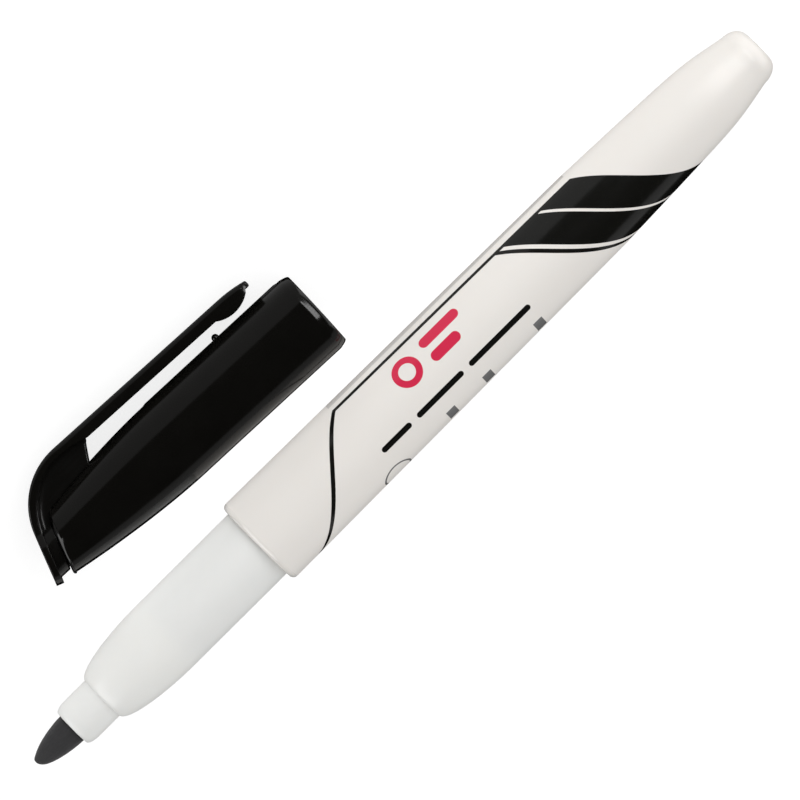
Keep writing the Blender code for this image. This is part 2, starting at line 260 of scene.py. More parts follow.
# Lights and floor
KEY_ALONG = 0.927
KEY_ACROSS = 0.375
CARD_GAP = 0.4 * MM
CARD_RADIANCE = 0.48
DOME_STRENGTH = 0.78
FLOOR_HALF = 1500
FLOOR_GLOW = 0.8


# ---------------------------------------------------------------- places taken from the frame


def marker_place():
    """Matrix from the marker's own millimetres, with Z towards its tail, to the frame."""
    low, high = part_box("barrel")
    centre = (low + high) / 2
    turn = Matrix(((0, 0, 1), (0, 1, 0), (-1, 0, 0))).to_4x4()
    start = low.x - BARREL_FRONT * MM
    return Matrix.Translation((start, centre.y, centre.z)) @ turn @ Matrix.Scale(MM, 4)


def cap_place(joints):
    """Matrix from the cap's own millimetres: Z along its axis, mouth at 0, and X towards the clip."""
    flex = next(joint for joint in joints if joint["name"] == "clip_flex")
    across = Vector(flex["axis"]).normalized()
    along = across.cross(Vector((0, 0, 1))).normalized()
    out = across.cross(along)
    hinge_along = SPLIT + FLEX_GAP / 2
    hinge_out = arm_out(hinge_along) - CLIP_THICK / 2
    mouth = Vector(flex["pos_m"]) - (out * hinge_out + along * hinge_along) * MM
    turn = Matrix((out, across, along)).transposed().to_4x4()
    return Matrix.Translation(mouth) @ turn @ Matrix.Scale(MM, 4)


# ---------------------------------------------------------------- shapes


def spread(first, last, steps):
    """Evenly spaced numbers from first to last."""
    return [first + (last - first) * i / steps for i in range(steps + 1)]


def arc(centre, radius, start, end, steps):
    """Points on a circle between two angles in degrees."""
    angles = [math.radians(angle) for angle in spread(start, end, steps)]
    return [
        (centre[0] + radius * math.cos(angle), centre[1] + radius * math.sin(angle))
        for angle in angles
    ]


def smooth(points, steps):
    """A smooth line through points, with that many steps between each two."""
    ends = [points[0]] + list(points) + [points[-1]]
    line = []
    for i in range(1, len(ends) - 2):
        before, start, end, after = (Vector(point) for point in ends[i - 1 : i + 3])
        length = (end - start).length
        leave = (end - before) / ((end - before).length or 1) * length
        arrive = (after - start) / ((after - start).length or 1) * length
        for step in range(steps):
            t = step / steps
            point = (
                start * (1 - 3 * t**2 + 2 * t**3)
                + end * (3 * t**2 - 2 * t**3)
                + leave * (t - 2 * t**2 + t**3)
                + arrive * (t**3 - t**2)
            )
            line.append(tuple(point))
    return line + [tuple(points[-1])]


def finish_mesh(name, shape, place, sharp_angle=38):
    """Turns a bmesh in local millimetres into an object in the frame, shaded smooth."""
    bmesh.ops.remove_doubles(shape, verts=shape.verts, dist=0.0005)
    bmesh.ops.recalc_face_normals(shape, faces=shape.faces)
    mesh = bpy.data.meshes.new(name)
    shape.to_mesh(mesh)
    shape.free()
    mesh.transform(place)
    mesh.shade_smooth()
    mesh.set_sharp_from_angle(angle=math.radians(sharp_angle))
    obj = bpy.data.objects.new(name, mesh)
    bpy.context.scene.collection.objects.link(obj)
    return obj


def turned_shape(profile, closed=False, around=ROUND, reshape=None):
    """A bmesh turned round Z from (radius, height) points. reshape moves each point as it is made."""
    shape = bmesh.new()
    rings = []
    for radius, height in profile:
        if radius < 1e-6:
            ring = [shape.verts.new((0, 0, height))] * around
        else:
            ring = []
            for step in range(around):
                angle = 2 * math.pi * step / around
                point = Vector((radius * math.cos(angle), radius * math.sin(angle), height))
                ring.append(shape.verts.new(reshape(point) if reshape else point))
        rings.append(ring)
    pairs = list(zip(rings, rings[1:]))
    if closed:
        pairs.append((rings[-1], rings[0]))
    for one, other in pairs:
        for step in range(around):
            after = (step + 1) % around
            corners = [one[step], one[after], other[after], other[step]]
            corners = list(dict.fromkeys(corners))
            if len(corners) > 2:
                shape.faces.new(corners)
    return shape


def join_rows(shape, grid, around=False):
    """Faces between each two rows of points. With around, each row closes on itself."""
    for one, other in zip(grid, grid[1:]):
        for step in range(len(one) - (0 if around else 1)):
            after = (step + 1) % len(one)
            shape.faces.new((one[step], one[after], other[after], other[step]))


def rounded(profile, radius, steps=3):
    """The profile with each inner corner cut by a small arc."""
    line = [profile[0]]
    for before, corner, after in zip(profile, profile[1:], profile[2:]):
        back, ahead = Vector(before) - Vector(corner), Vector(after) - Vector(corner)
        cut = min(radius, back.length * 0.45, ahead.length * 0.45)
        turn = back.angle(ahead, math.pi)
        if turn > math.radians(150) or cut < 1e-4:
            line.append(tuple(corner))
            continue
        start = Vector(corner) + back.normalized() * cut
        end = Vector(corner) + ahead.normalized() * cut
        for step in range(steps + 1):
            t = step / steps
            bend = start * (1 - t) ** 2 + Vector(corner) * 2 * t * (1 - t) + end * t**2
            line.append(tuple(bend))
    return line + [profile[-1]]


# ---------------------------------------------------------------- marker pieces


def barrel_outline():
    """(radius, height) down the outside of the barrel, tail first."""
    edge_r, edge_height = BARREL_SIDE[-1]
    rounding = [
        (
            TAIL_FACE_R + (edge_r - TAIL_FACE_R) * math.sin(math.radians(angle)),
            edge_height + (BARREL_LENGTH - edge_height) * math.cos(math.radians(angle)),
        )
        for angle in spread(0, 80, 14)
    ]
    taper = smooth(list(reversed(BARREL_SIDE)), 8)
    shoulder_r, shoulder_height = BARREL_SIDE[0]
    edge_end = BARREL_FRONT + BARREL_EDGE
    straight = [
        (BARREL_R + (shoulder_r - BARREL_R) * t, edge_end + (shoulder_height - edge_end) * t)
        for t in (0.75, 0.5, 0.25)
    ]
    edge = arc((BARREL_R - BARREL_EDGE, edge_end), BARREL_EDGE, 0, -90, 8)
    return [(0, BARREL_LENGTH)] + rounding + taper + straight + edge


def make_barrel(place):
    """The tube, with the socket for the front section and the bore for the reservoir."""
    inside = rounded(
        [
            (SOCKET_R + SOCKET_CHAMFER, BARREL_FRONT),
            (SOCKET_R, BARREL_FRONT + SOCKET_CHAMFER),
            (SOCKET_R, SOCKET_DEPTH),
            (BORE_R, SOCKET_DEPTH),
            (BORE_R, BORE_STRAIGHT),
            (BORE_END_R, TAIL_FLOOR),
            (0, TAIL_FLOOR),
        ],
        BORE_ROUNDING,
    )
    return finish_mesh("barrel_body", turned_shape(barrel_outline() + inside), place)


def shoulder_outline():
    """The round shoulder, from full width forward to its sharp front edge."""
    low = math.sin(math.radians(SHOULDER_START))
    rise = SECTION_R - SHOULDER_FRONT_R
    back = SHOULDER_FRONT + SHOULDER_LENGTH
    line = []
    for angle in spread(90, SHOULDER_START, 30):
        share = (math.sin(math.radians(angle)) - low) / (1 - low)
        run = math.cos(math.radians(angle)) / math.cos(math.radians(SHOULDER_START))
        line.append((SHOULDER_FRONT_R + rise * share, back - SHOULDER_LENGTH * run))
    return line


def make_front_section(place):
    """The nib holder: skirt, round shoulder and collar, with the ink chamber and the nib's guide."""
    skirt = [
        (CHAMBER_R, SKIRT_DEPTH),
        (SECTION_R - SKIRT_CHAMFER, SKIRT_DEPTH),
        (SECTION_R, SKIRT_DEPTH - 2 * SKIRT_CHAMFER),
    ]
    shoulder = shoulder_outline()
    collar = [(COLLAR_R, SHOULDER_FRONT), (COLLAR_R, COLLAR_START)]
    edge = rounded(shoulder[-2:] + collar, SHOULDER_EDGE)
    nose = [
        (
            COLLAR_NOSE_R + (COLLAR_R - COLLAR_NOSE_R) * math.cos(math.radians(angle)),
            COLLAR_FRONT + COLLAR_NOSE * (1 - math.sin(math.radians(angle))),
        )
        for angle in spread(0, 90, 12)
    ]
    inside = [
        (GUIDE_R, COLLAR_FRONT + GUIDE_MOUTH),
        (GUIDE_R, CHAMBER_FRONT - CHAMBER_CONE),
        (CHAMBER_R, CHAMBER_FRONT),
    ]
    profile = skirt + shoulder[:-2] + edge + nose + inside
    return finish_mesh("front_section_body", turned_shape(profile, closed=True), place)


def make_nib(place):
    """A fibre rod with a bullet tip, worn to one side. It is slightly uneven, as pressed felt is."""
    length = COLLAR_FRONT - NIB_TIP
    profile = [(0, NIB_BACK), (NIB_BACK_R, NIB_BACK), (NIB_R, NIB_BACK - NIB_TAPER)]
    profile += [(NIB_R, height) for height in spread(-12, COLLAR_FRONT + 0.5, 14)]
    for angle in spread(0, 90, 44)[:-1]:
        share = math.sin(math.radians(angle))
        radius = NIB_TIP_R + (NIB_R - NIB_TIP_R) * (1 - share**NIB_CURVE) ** NIB_BLUNTNESS
        profile.append((radius, COLLAR_FRONT - length * share))
    profile.append((0, NIB_TIP))

    def felt(point):
        x, y, z = point
        grain = noise.noise(Vector((x * FELT_ACROSS, y * FELT_ACROSS, z * FELT_ALONG)))
        lump = noise.noise(point * FELT_LUMPS)
        shrink = 1 - 0.008 * (1 + grain) - 0.006 * (1 + lump)
        worn = NIB_WEAR * max(0, 1 - (z - NIB_TIP) / NIB_WEAR_HEIGHT) ** 2
        return Vector((x * shrink, y * shrink + worn, z))

    return finish_mesh("nib_felt_tip", turned_shape(profile, around=112, reshape=felt), place)


# ---------------------------------------------------------------- cap pieces


def cap_radius(height):
    """Outer radius: straight behind the mouth, then a curved taper to the closed end."""
    run = max(0, -height - CAP_STRAIGHT)
    return CAP_R - CAP_TAPER_DROP * (run / CAP_TAPER_LENGTH) ** CAP_TAPER_POWER


def cap_bore(height):
    """Inner radius: the wall is thin where the front section enters and thicker in the taper."""
    run = max(0, -height - CAP_STRAIGHT)
    share = min(1, run / CAP_WALL_GROWTH)
    wall = (CAP_R - CAP_BORE_R) + (CAP_END_WALL - CAP_R + CAP_BORE_R) * share
    return cap_radius(height) - wall


def slanted(point):
    """Slants the tube's closed end: full lean at the end, none SLANT_REACH in, and none in its hole."""
    radius = math.hypot(point.x, point.y)
    in_hole = radius < CORE_R and point.z >= TUBE_END + 0.1
    if in_hole or point.z > TUBE_END + SLANT_REACH:
        return point
    share = 1 - (point.z - TUBE_END) / SLANT_REACH
    height = point.z + point.x * SLANT * min(1, share)
    on_side = abs(radius - cap_radius(point.z)) < 0.01
    scale = cap_radius(height) / cap_radius(point.z) if on_side else 1
    return Vector((point.x * scale, point.y * scale, height))


def make_cap_tube(place):
    """The tube, with its closed end cut on the slant and its mouth's lip rolled in."""
    cone_end = CAP_LIP - LIP_END[-1][1]
    rim = [(CAP_BORE_R + out, -depth) for out, depth in RIM_OUTSIDE]
    cone = [(CAP_R - LIP_SLOPE * (CAP_LIP - h), -h) for h in spread(LIP_EDGE, cone_end, 4)]
    lip_end = [(CAP_R - LIP_SLOPE * run, -CAP_LIP - depth) for run, depth in LIP_END]
    straight = [(CAP_R, height) for height in spread(-CAP_LIP - 0.25, -CAP_STRAIGHT, 6)[:-1]]
    taper_end = TUBE_END + END_ROUNDING
    taper = [(cap_radius(height), height) for height in spread(-CAP_STRAIGHT, taper_end, 22)]
    end = arc((cap_radius(TUBE_END) - END_ROUNDING, taper_end), END_ROUNDING, -12, -90, 5)
    hole_r = PLUG_R + PUSH_GAP
    hole = [(hole_r, TUBE_END), (hole_r, END_WALL_TOP)]
    bore = [(cap_bore(height), height) for height in spread(END_WALL_TOP, -CAP_STRAIGHT, 12)]
    mouth = [(CAP_BORE_R + out, -depth) for out, depth in RIM_INSIDE]
    profile = rim + cone + lip_end + straight + taper + end + hole + bore + mouth
    return finish_mesh("cap_shell", turned_shape(profile, closed=True, reshape=slanted), place)


def make_bead(place):
    """The locating bead under the clip."""
    profile = [(0, BEAD_R)] + arc((0, 0), BEAD_R, 80, -55, 14)
    profile += [(BEAD_R * 0.52, -BEAD_DEPTH), (0, -BEAD_DEPTH)]
    tilt = Matrix.Rotation(math.pi / 2, 4, "Y")
    spot = Matrix.Translation((CAP_R + BEAD_RISE, 0, -BEAD_FROM_MOUTH)) @ tilt
    return finish_mesh("cap_bead", turned_shape(profile, around=32), place @ spot)


def make_strip(place):
    """The raised strip that the mould's slide leaves under the clip. Its edges dip into the tube."""
    shape = bmesh.new()
    heights = spread(-CAP_STRAIGHT - 0.2, -CAP_LIP, 24)
    grid = []
    for index, height in enumerate(heights):
        at_end = index in (0, len(heights) - 1)
        row = []
        for y in spread(-STRIP_HALF, STRIP_HALF, STRIP_ROWS):
            at_edge = abs(abs(y) - STRIP_HALF) < 1e-6
            radius = cap_radius(height) + (-STRIP_RISE if at_edge or at_end else STRIP_RISE)
            row.append(shape.verts.new((math.sqrt(radius**2 - y**2), y, height)))
        grid.append(row)
    join_rows(shape, grid)
    rim = [edge for edge in shape.edges if edge.is_boundary]
    bmesh.ops.holes_fill(shape, edges=rim, sides=0)
    return finish_mesh("cap_strip", shape, place, sharp_angle=60)


def make_inner_cap(place):
    """The liner that seals round the collar, with a low ridge inside that grips it."""
    outside = [
        (min(LINER_R, cap_bore(height) - PUSH_GAP), height)
        for height in spread(LINER_FRONT - 0.15, LINER_BACK + 0.2, 16)
    ]
    back_r = outside[-1][0]
    floor = LINER_BACK + LINER_FLOOR
    inside = [
        (0, floor),
        (LINER_BORE_R - 0.4, floor),
        (LINER_BORE_R, floor + 0.4),
        (LINER_BORE_R, LINER_SEAL - LINER_SEAL_HALF),
        (LINER_BORE_R - LINER_SEAL_RISE, LINER_SEAL),
        (LINER_BORE_R, LINER_SEAL + LINER_SEAL_HALF),
        (LINER_BORE_R, LINER_FRONT - 0.5),
        (LINER_BORE_R + 0.35, LINER_FRONT),
        (LINER_R - 0.12, LINER_FRONT),
    ]
    profile = inside + outside + [(back_r - 0.2, LINER_BACK), (0, LINER_BACK)]
    return finish_mesh("inner_cap_liner", turned_shape(profile), place)


def arm_out(height):
    """The arm's outer edge: it leans in towards the tube, and bends further in near its tip."""
    bend = max(0, height - TIP_BEND) / (CLIP_TIP - TIP_BEND)
    return CLIP_OUT - ARM_LEAN * (height - CORNER_TOP) - TIP_DROP * bend**2


def arm_inside(height):
    """The arm's inner edge: the thicker part of the root, the round pad, and the thin lip after it."""
    if PAD_START < height < PAD_END:
        return PAD_CREST + PAD_R - math.sqrt(PAD_R**2 - (height - PAD_CENTRE) ** 2)
    if height >= PAD_END:
        return TIP_INSIDE
    share = min(1, max(0, (height - CORNER_TOP) / (SLOT_TOP - CORNER_TOP)))
    return arm_out(height) - STRAP_THICK - (CLIP_THICK - STRAP_THICK) * share**2


def plate_half_width(distance):
    """Half the width of the end plate and the neck, at a distance from the cap's axis."""
    if distance <= PLATE_JOIN:
        return math.sqrt(max(0.01, PLATE_R**2 - distance**2))
    length = NECK_END - PLATE_JOIN
    t = min(1, (distance - PLATE_JOIN) / length)
    start = math.sqrt(PLATE_R**2 - PLATE_JOIN**2)
    slope = -PLATE_JOIN / start * length
    end = CLIP_WIDTH / 2
    return (
        start * (2 * t**3 - 3 * t**2 + 1)
        + slope * (t**3 - 2 * t**2 + t)
        + end * (3 * t**2 - 2 * t**3)
    )


def clip_stations():
    """The clip from heel to tip, as (outer point, way in, thickness, half width, edge rounding)."""
    lean = math.atan(SLANT)
    centre = Vector((CLIP_OUT - CORNER_R, CORNER_TOP))
    slope = Vector((math.cos(lean), math.sin(lean)))
    inward = Vector((-slope.y, slope.x))
    start = centre - inward * CORNER_R
    stations = []
    # The heel starts just inside the plate's edge, so that its first section has a width
    for angle in spread(math.pi * 0.985, 0, 44):
        reach = PLATE_R * math.cos(angle)
        if reach < start.x - 0.1:
            outer = start + slope * ((reach - start.x) / slope.x)
            half = plate_half_width(reach)
            stations.append((outer, inward, PLATE_THICK, half, PLATE_ROUNDING))
    for share in spread(0, 1, 30):
        angle = (lean - math.pi / 2) * (1 - share)
        inward = Vector((-math.cos(angle), -math.sin(angle)))
        outer = centre - inward * CORNER_R
        thick = PLATE_THICK + (STRAP_THICK - PLATE_THICK) * share
        edge = PLATE_ROUNDING + (CORNER_ROUNDING - PLATE_ROUNDING) * share
        stations.append((outer, inward, thick, plate_half_width(outer.x), edge))
    heights = spread(CORNER_TOP, PAD_START, 30)[1:-1] + spread(PAD_START, PAD_END, 26)
    heights += spread(PAD_END + 0.06, CLIP_TIP - TIP_ROUNDING, 4)
    cuts = [(height, 0) for height in heights]
    cuts += [(CLIP_TIP - 0.05, TIP_ROUNDING / 4), (CLIP_TIP, TIP_ROUNDING)]
    for height, end_cut in cuts:
        thick = arm_out(height) - arm_inside(height)
        near_tip = max(0, height - CLIP_TIP + TIP_NARROW_LENGTH) / TIP_NARROW_LENGTH
        half = CLIP_WIDTH / 2 - TIP_NARROWING * near_tip**2 - end_cut
        outer = Vector((arm_out(height) - end_cut, height))
        stations.append((outer, Vector((-1, 0)), thick - 2 * end_cut, half, ARM_ROUNDING))
    return stations


def ring_section(outer, inward, thickness, half, outer_r):
    """A rectangle across the clip with large round outer corners and small inner ones."""
    outer_r = min(outer_r, thickness * 0.6, half * 0.5)
    inner_r = min(INNER_ROUNDING, thickness * 0.3, half * 0.3)
    corners = (
        (half - inner_r, thickness - inner_r, inner_r, 0),
        (inner_r - half, thickness - inner_r, inner_r, 90),
        (outer_r - half, outer_r, outer_r, 180),
        (half - outer_r, outer_r, outer_r, 270),
    )
    points = []
    for centre_y, centre_t, radius, start in corners:
        points += arc((centre_y, centre_t), radius, start, start + 90, 7)
        if start in (0, 180):
            end = points[-1]
            points += [(end[0] * share, end[1]) for share in (0.5, 0, -0.5)]
    ring = []
    for y, t in points:
        t += CROWN * (y / half) ** 2 * max(0, 1 - t / thickness)
        at = outer + inward * t
        ring.append(Vector((at.x, y, at.y)))
    return ring


def make_clip(place):
    """The clip moulding's end plate, corner and arm, as one swept surface."""
    shape = bmesh.new()
    rows = [[shape.verts.new(p) for p in ring_section(*station)] for station in clip_stations()]
    join_rows(shape, rows, around=True)
    shape.faces.new(rows[0])
    shape.faces.new(rows[-1])
    return finish_mesh("clip_strap", shape, place, sharp_angle=50)


def resampled(points, count):
    """The line through the points, as count evenly spaced ones."""
    points = [Vector(point) for point in points]
    lengths = [(b - a).length for a, b in zip(points, points[1:])]
    step = sum(lengths) / (count - 1)
    line, index, gone = [points[0]], 0, 0.0
    for number in range(1, count - 1):
        while gone + lengths[index] < step * number:
            gone += lengths[index]
            index += 1
        line.append(points[index].lerp(points[index + 1], (step * number - gone) / lengths[index]))
    return line + [points[-1]]


def web_lines():
    """Side view of the web: its line inside the strap, and its line on the core, tube and slot."""
    centre = (CLIP_OUT - CORNER_R, CORNER_TOP)
    start = -90 + math.degrees(math.atan(SLANT))
    outer = arc(centre, CORNER_R - STRAP_THICK / 2, start, 0, 24)
    slot_inside = arm_inside(SLOT_TOP)
    outer.append((slot_inside + CLIP_THICK / 2, SLOT_TOP + 0.2))
    foot = [(out, TUBE_END + rise) for out, rise in WEB_FOOT]
    seat_heights = spread(WEB_HEEL, SLOT_END - WEB_SINK, 12)
    seat = [(cap_radius(height) - WEB_SINK, height) for height in seat_heights]
    curl = [(slot_inside + out, SLOT_TOP + rise) for out, rise in SLOT_CURL]
    slot = smooth([(SLOT_FOOT - 0.1, SLOT_END), curl[0]], 8)
    return resampled(outer, WEB_STEPS), resampled(foot + seat + slot + curl[1:], WEB_STEPS)


def make_clip_web(place):
    """The thinner web between strap and tube, with a fillet along the strap and a soft slot edge."""
    shares = (0, 0.05, 0.1, 0.14, 0.18, 0.23, 0.29, 0.38, 0.5, 0.65, 0.8, 0.9, 0.95, 0.975, 0.99, 1)
    shape = bmesh.new()
    sides = []
    for side in (1, -1):
        grid = []
        for a, b in zip(*web_lines()):
            row = []
            for share in shares:
                at = a.lerp(b, share)
                from_strap = max(0, (at - a).length - STRAP_THICK / 2)
                from_edge = (at - b).length
                half = WEB_WIDTH / 2 + WEB_FILLET * max(0, 1 - from_strap / WEB_FILLET_REACH) ** 2.5
                half -= WEB_EDGE * max(0, 1 - from_edge / WEB_EDGE_REACH) ** 2
                row.append(shape.verts.new((at.x, side * half, at.y)))
            grid.append(row)
        join_rows(shape, grid)
        sides.append(grid)
    front, back = sides
    rims = [(front[0], back[0]), (front[-1], back[-1])]
    for column in (0, -1):
        rims.append(([row[column] for row in front], [row[column] for row in back]))
    for rim in rims:
        join_rows(shape, rim)
    return finish_mesh("clip_web", shape, place, sharp_angle=45)


def make_clip_core(place):
    """The core in the groove and the plug that holds the clip moulding in the tube's end."""
    heel, inward, thick, _, _ = clip_stations()[0]
    heel_top = heel + inward * thick * 0.6
    plate_top = heel_top.y - heel_top.x * SLANT
    profile = rounded(
        [
            (0, plate_top),
            (CORE_R, plate_top),
            (CORE_R, TUBE_END - PUSH_GAP),
            (PLUG_R, TUBE_END - PUSH_GAP),
            (PLUG_R, PLUG_TOP),
            (0, PLUG_TOP),
        ],
        0.1,
    )

    def lean(point):
        """The core's two faces lean, and the plug's top doesn't."""
        lift = point.x * SLANT if point.z < TUBE_END + 0.2 else 0
        return Vector((point.x, point.y, point.z + lift))

    return finish_mesh("clip_plug", turned_shape(profile, around=96, reshape=lean), place)


# ---------------------------------------------------------------- materials


class Nodes:
    """A short way to write a material's node tree."""

    def __init__(self, name):
        self.material = bpy.data.materials.new(name)
        self.material.use_nodes = True
        self.tree = self.material.node_tree
        self.shader = self.tree.nodes["Principled BSDF"]
        self.place = self.add("ShaderNodeTexCoord").outputs["Object"]

    def add(self, kind, **settings):
        node = self.tree.nodes.new(kind)
        for key, value in settings.items():
            setattr(node, key, value)
        return node

    def feed(self, socket, value):
        if isinstance(value, bpy.types.NodeSocket):
            self.tree.links.new(value, socket)
        else:
            socket.default_value = value

    def math(self, operation, *values, clamp=False):
        node = self.add("ShaderNodeMath", operation=operation, use_clamp=clamp)
        for socket, value in zip(node.inputs, values):
            self.feed(socket, value)
        return node.outputs[0]

    def stretched(self, scale):
        node = self.add("ShaderNodeVectorMath", operation="MULTIPLY")
        self.feed(node.inputs[0], self.place)
        node.inputs[1].default_value = scale
        return node.outputs[0]

    def noise(self, scale, detail=3.0, roughness=0.55, stretch=(1, 1, 1)):
        node = self.add("ShaderNodeTexNoise")
        self.feed(node.inputs["Vector"], self.stretched([s * scale for s in stretch]))
        node.inputs["Scale"].default_value = 1.0
        node.inputs["Detail"].default_value = detail
        node.inputs["Roughness"].default_value = roughness
        return node.outputs["Fac"]

    def between(self, value, low, high):
        """value from 0..1 mapped to low..high."""
        node = self.add("ShaderNodeMapRange")
        self.feed(node.inputs["Value"], value)
        node.inputs["To Min"].default_value = low
        node.inputs["To Max"].default_value = high
        return node.outputs["Result"]

    def mix(self, share, one, other):
        node = self.add("ShaderNodeMix", data_type="RGBA")
        self.feed(node.inputs["Factor"], share)
        for socket, value in zip((node.inputs[6], node.inputs[7]), (one, other)):
            self.feed(socket, (*value, 1.0) if isinstance(value, tuple) else value)
        return node.outputs[2]

    def bump(self, height, distance, strength=1.0, over=None):
        node = self.add("ShaderNodeBump")
        node.inputs["Strength"].default_value = strength
        node.inputs["Distance"].default_value = distance
        self.feed(node.inputs["Height"], height)
        if over is not None:
            self.feed(node.inputs["Normal"], over)
        return node.outputs["Normal"]

    def set(self, **values):
        for name, value in values.items():
            socket = self.shader.inputs[name.replace("_", " ")]
            if isinstance(value, tuple) and len(value) == 3 and socket.type == "RGBA":
                value = (*value, 1.0)
            self.feed(socket, value)
        return self.material


class Print(Nodes):
    """Masks on the barrel's unrolled side: x along it and a round it, in millimetres."""

    def unroll(self, origin, facing):
        """Sets x and a, from the marker's origin and the angle that its printed front faces."""
        split = self.add("ShaderNodeSeparateXYZ")
        self.feed(split.inputs[0], self.place)
        across = self.math("SUBTRACT", split.outputs["Y"], origin.y)
        up = self.math("SUBTRACT", split.outputs["Z"], origin.z)
        sideways = self.weighed(across, up, math.sin(facing), -math.cos(facing))
        forward = self.weighed(across, up, math.cos(facing), math.sin(facing))
        angle = self.math("ARCTAN2", sideways, forward)
        round_it = self.math("MULTIPLY", angle, self.length(across, up))
        self.x = self.math("MULTIPLY", self.math("SUBTRACT", split.outputs["X"], origin.x), 1 / MM)
        self.a = self.math("MULTIPLY", round_it, 1 / MM)

    def weighed(self, one, other, first, second):
        """The sum of one times first and other times second."""
        return self.math(
            "ADD",
            self.math("MULTIPLY", one, first),
            self.math("MULTIPLY", other, second),
        )

    def length(self, one, other):
        squares = [self.math("POWER", value, 2.0) for value in (one, other)]
        return self.math("SQRT", self.math("ADD", *squares))

    def over(self, value, limit, soft=0.05):
        """1 where value is over limit, with an edge as wide as soft."""
        past = self.math("SUBTRACT", value, limit)
        return self.math("MULTIPLY_ADD", past, 1 / soft, 0.5, clamp=True)

    def under(self, value, limit, soft=0.05):
        return self.over(value, limit, -soft)

    def both(self, *masks):
        """1 where all the masks are 1."""
        total = masks[0]
        for mask in masks[1:]:
            total = self.math("MULTIPLY", total, mask)
        return total

    def either(self, *masks):
        """1 where any of the masks is 1."""
        total = masks[0]
        for mask in masks[1:]:
            total = self.math("MAXIMUM", total, mask)
        return total

    def band(self, value, low, high):
        """1 where value is between low and high."""
        return self.both(self.over(value, low), self.under(value, high))

    def box(self, x_low, x_high, a_low, a_high):
        return self.both(self.band(self.x, x_low, x_high), self.band(self.a, a_low, a_high))

    def disc(self, x, a, radius):
        from_x = self.math("SUBTRACT", self.x, x)
        from_a = self.math("SUBTRACT", self.a, a)
        return self.under(self.length(from_x, from_a), radius)

    def pill(self, x_low, x_high, a, half):
        """A bar with round ends."""
        body = self.box(x_low, x_high, a - half, a + half)
        return self.either(body, self.disc(x_low, a, half), self.disc(x_high, a, half))

    def ring(self, x, a, radius, line):
        """A circle of that outer radius, drawn with a line of that width."""
        outer = self.disc(x, a, radius)
        inner = self.disc(x, a, radius - line)
        return self.math("SUBTRACT", outer, inner)


def barrel_print(p):
    """Black, grey and red masks: a slanted panel outline, three slanted bands and plain marks."""
    level = p.math("MULTIPLY_ADD", p.x, PANEL_NARROWING, p.a)
    front = p.math("MULTIPLY_ADD", p.a, -FRONT_SLOPE, p.x)
    slope = p.math("MULTIPLY_ADD", p.a, BAND_CURVE, BAND_SLOPE)
    back = p.math("ADD", p.x, p.math("MULTIPLY", p.a, slope))
    rows = p.both(p.over(p.a, PANEL_BOTTOM), p.under(level, PANEL_TOP + 0.1))
    slanted_lines = [p.band(front, FRONT_X - FRONT_LINE / 2, FRONT_X + FRONT_LINE / 2)]
    slanted_lines += [p.band(back, start, end) for start, end in BANDS]
    top_line = p.both(
        p.band(level, PANEL_TOP - TOP_LINE / 2, PANEL_TOP + TOP_LINE / 2),
        p.over(front, FRONT_X - 0.4),
        p.under(back, BANDS[-1][1]),
    )
    words = [p.pill(start, end, WORDS_A, WORD_HALF) for start, end in WORD_BARS]
    icons = [p.box(*square) for square in SQUARES] + [p.ring(*CIRCLE)]
    black = p.either(p.both(p.either(*slanted_lines), rows), top_line, *words)
    grey = p.either(*icons, p.math("MULTIPLY", p.box(*PALE_STRIP), PALE_STRIP_SHARE))
    bars = [p.pill(start, end, a, RED_BAR_HALF) for start, end, a in RED_BARS]
    red = p.either(p.ring(*RED_RING), *bars)
    return black, grey, red


def barrel_material(origin, facing):
    """Moulded plastic with its print, which stands a little proud. The front edge is burnished."""
    p = Print("barrel_plastic")
    p.unroll(origin, facing)
    black, grey, red = barrel_print(p)
    colour = p.mix(p.noise(90, detail=4), *WARM_WHITE)
    for mask, ink in ((grey, GREY_INK), (red, RED_INK), (black, BLACK_INK)):
        colour = p.mix(mask, colour, ink)
    inked = p.either(black, red, grey)
    fine = p.noise(2600, detail=2)
    worn = p.noise(500, detail=5, stretch=(0.25, 1, 1))
    burnished = p.under(p.x, BARREL_FRONT + BARREL_EDGE, soft=0.6)
    glossy = p.either(inked, burnished)
    roughness = p.math("MULTIPLY_ADD", glossy, -0.2, p.between(worn, 0.30, 0.46))
    skin = p.bump(fine, 0.004 * MM, 0.5)
    return p.set(
        Base_Color=colour,
        Roughness=roughness,
        Normal=p.bump(inked, 0.012 * MM, 0.6, over=skin),
        IOR=1.49,
        Subsurface_Weight=0.08,
        Subsurface_Radius=(0.0012, 0.001, 0.0008),
        Subsurface_Scale=1.0,
    )


def natural_material():
    """Unpigmented plastic, which lets a little light through, with faint scuffs along it."""
    p = Nodes("natural_plastic")
    streak = p.noise(900, detail=3, stretch=(0.12, 1, 1))
    return p.set(
        Base_Color=p.mix(p.noise(160, detail=4), *NATURAL_WHITE),
        Roughness=p.between(streak, 0.34, 0.50),
        Normal=p.bump(p.noise(2200, detail=2), 0.004 * MM, 0.5),
        IOR=1.49,
        Subsurface_Weight=0.35,
        Subsurface_Radius=(0.0016, 0.0015, 0.0014),
        Subsurface_Scale=1.0,
    )


def felt_material(name, colours):
    """Bundled fibres that run along the marker, soaked in ink."""
    p = Nodes(name)
    fibre = p.noise(5200, detail=4, roughness=0.7, stretch=(0.09, 1, 1))
    blotch = p.noise(700, detail=3)
    share = p.math("MULTIPLY", fibre, p.between(blotch, 0.6, 1.3), clamp=True)
    return p.set(
        Base_Color=p.mix(share, *colours),
        Roughness=p.between(fibre, 0.72, 0.95),
        Normal=p.bump(fibre, 0.05 * MM, 0.9),
        Specular_IOR_Level=0.25,
        Sheen_Weight=0.15,
        Sheen_Roughness=0.5,
    )


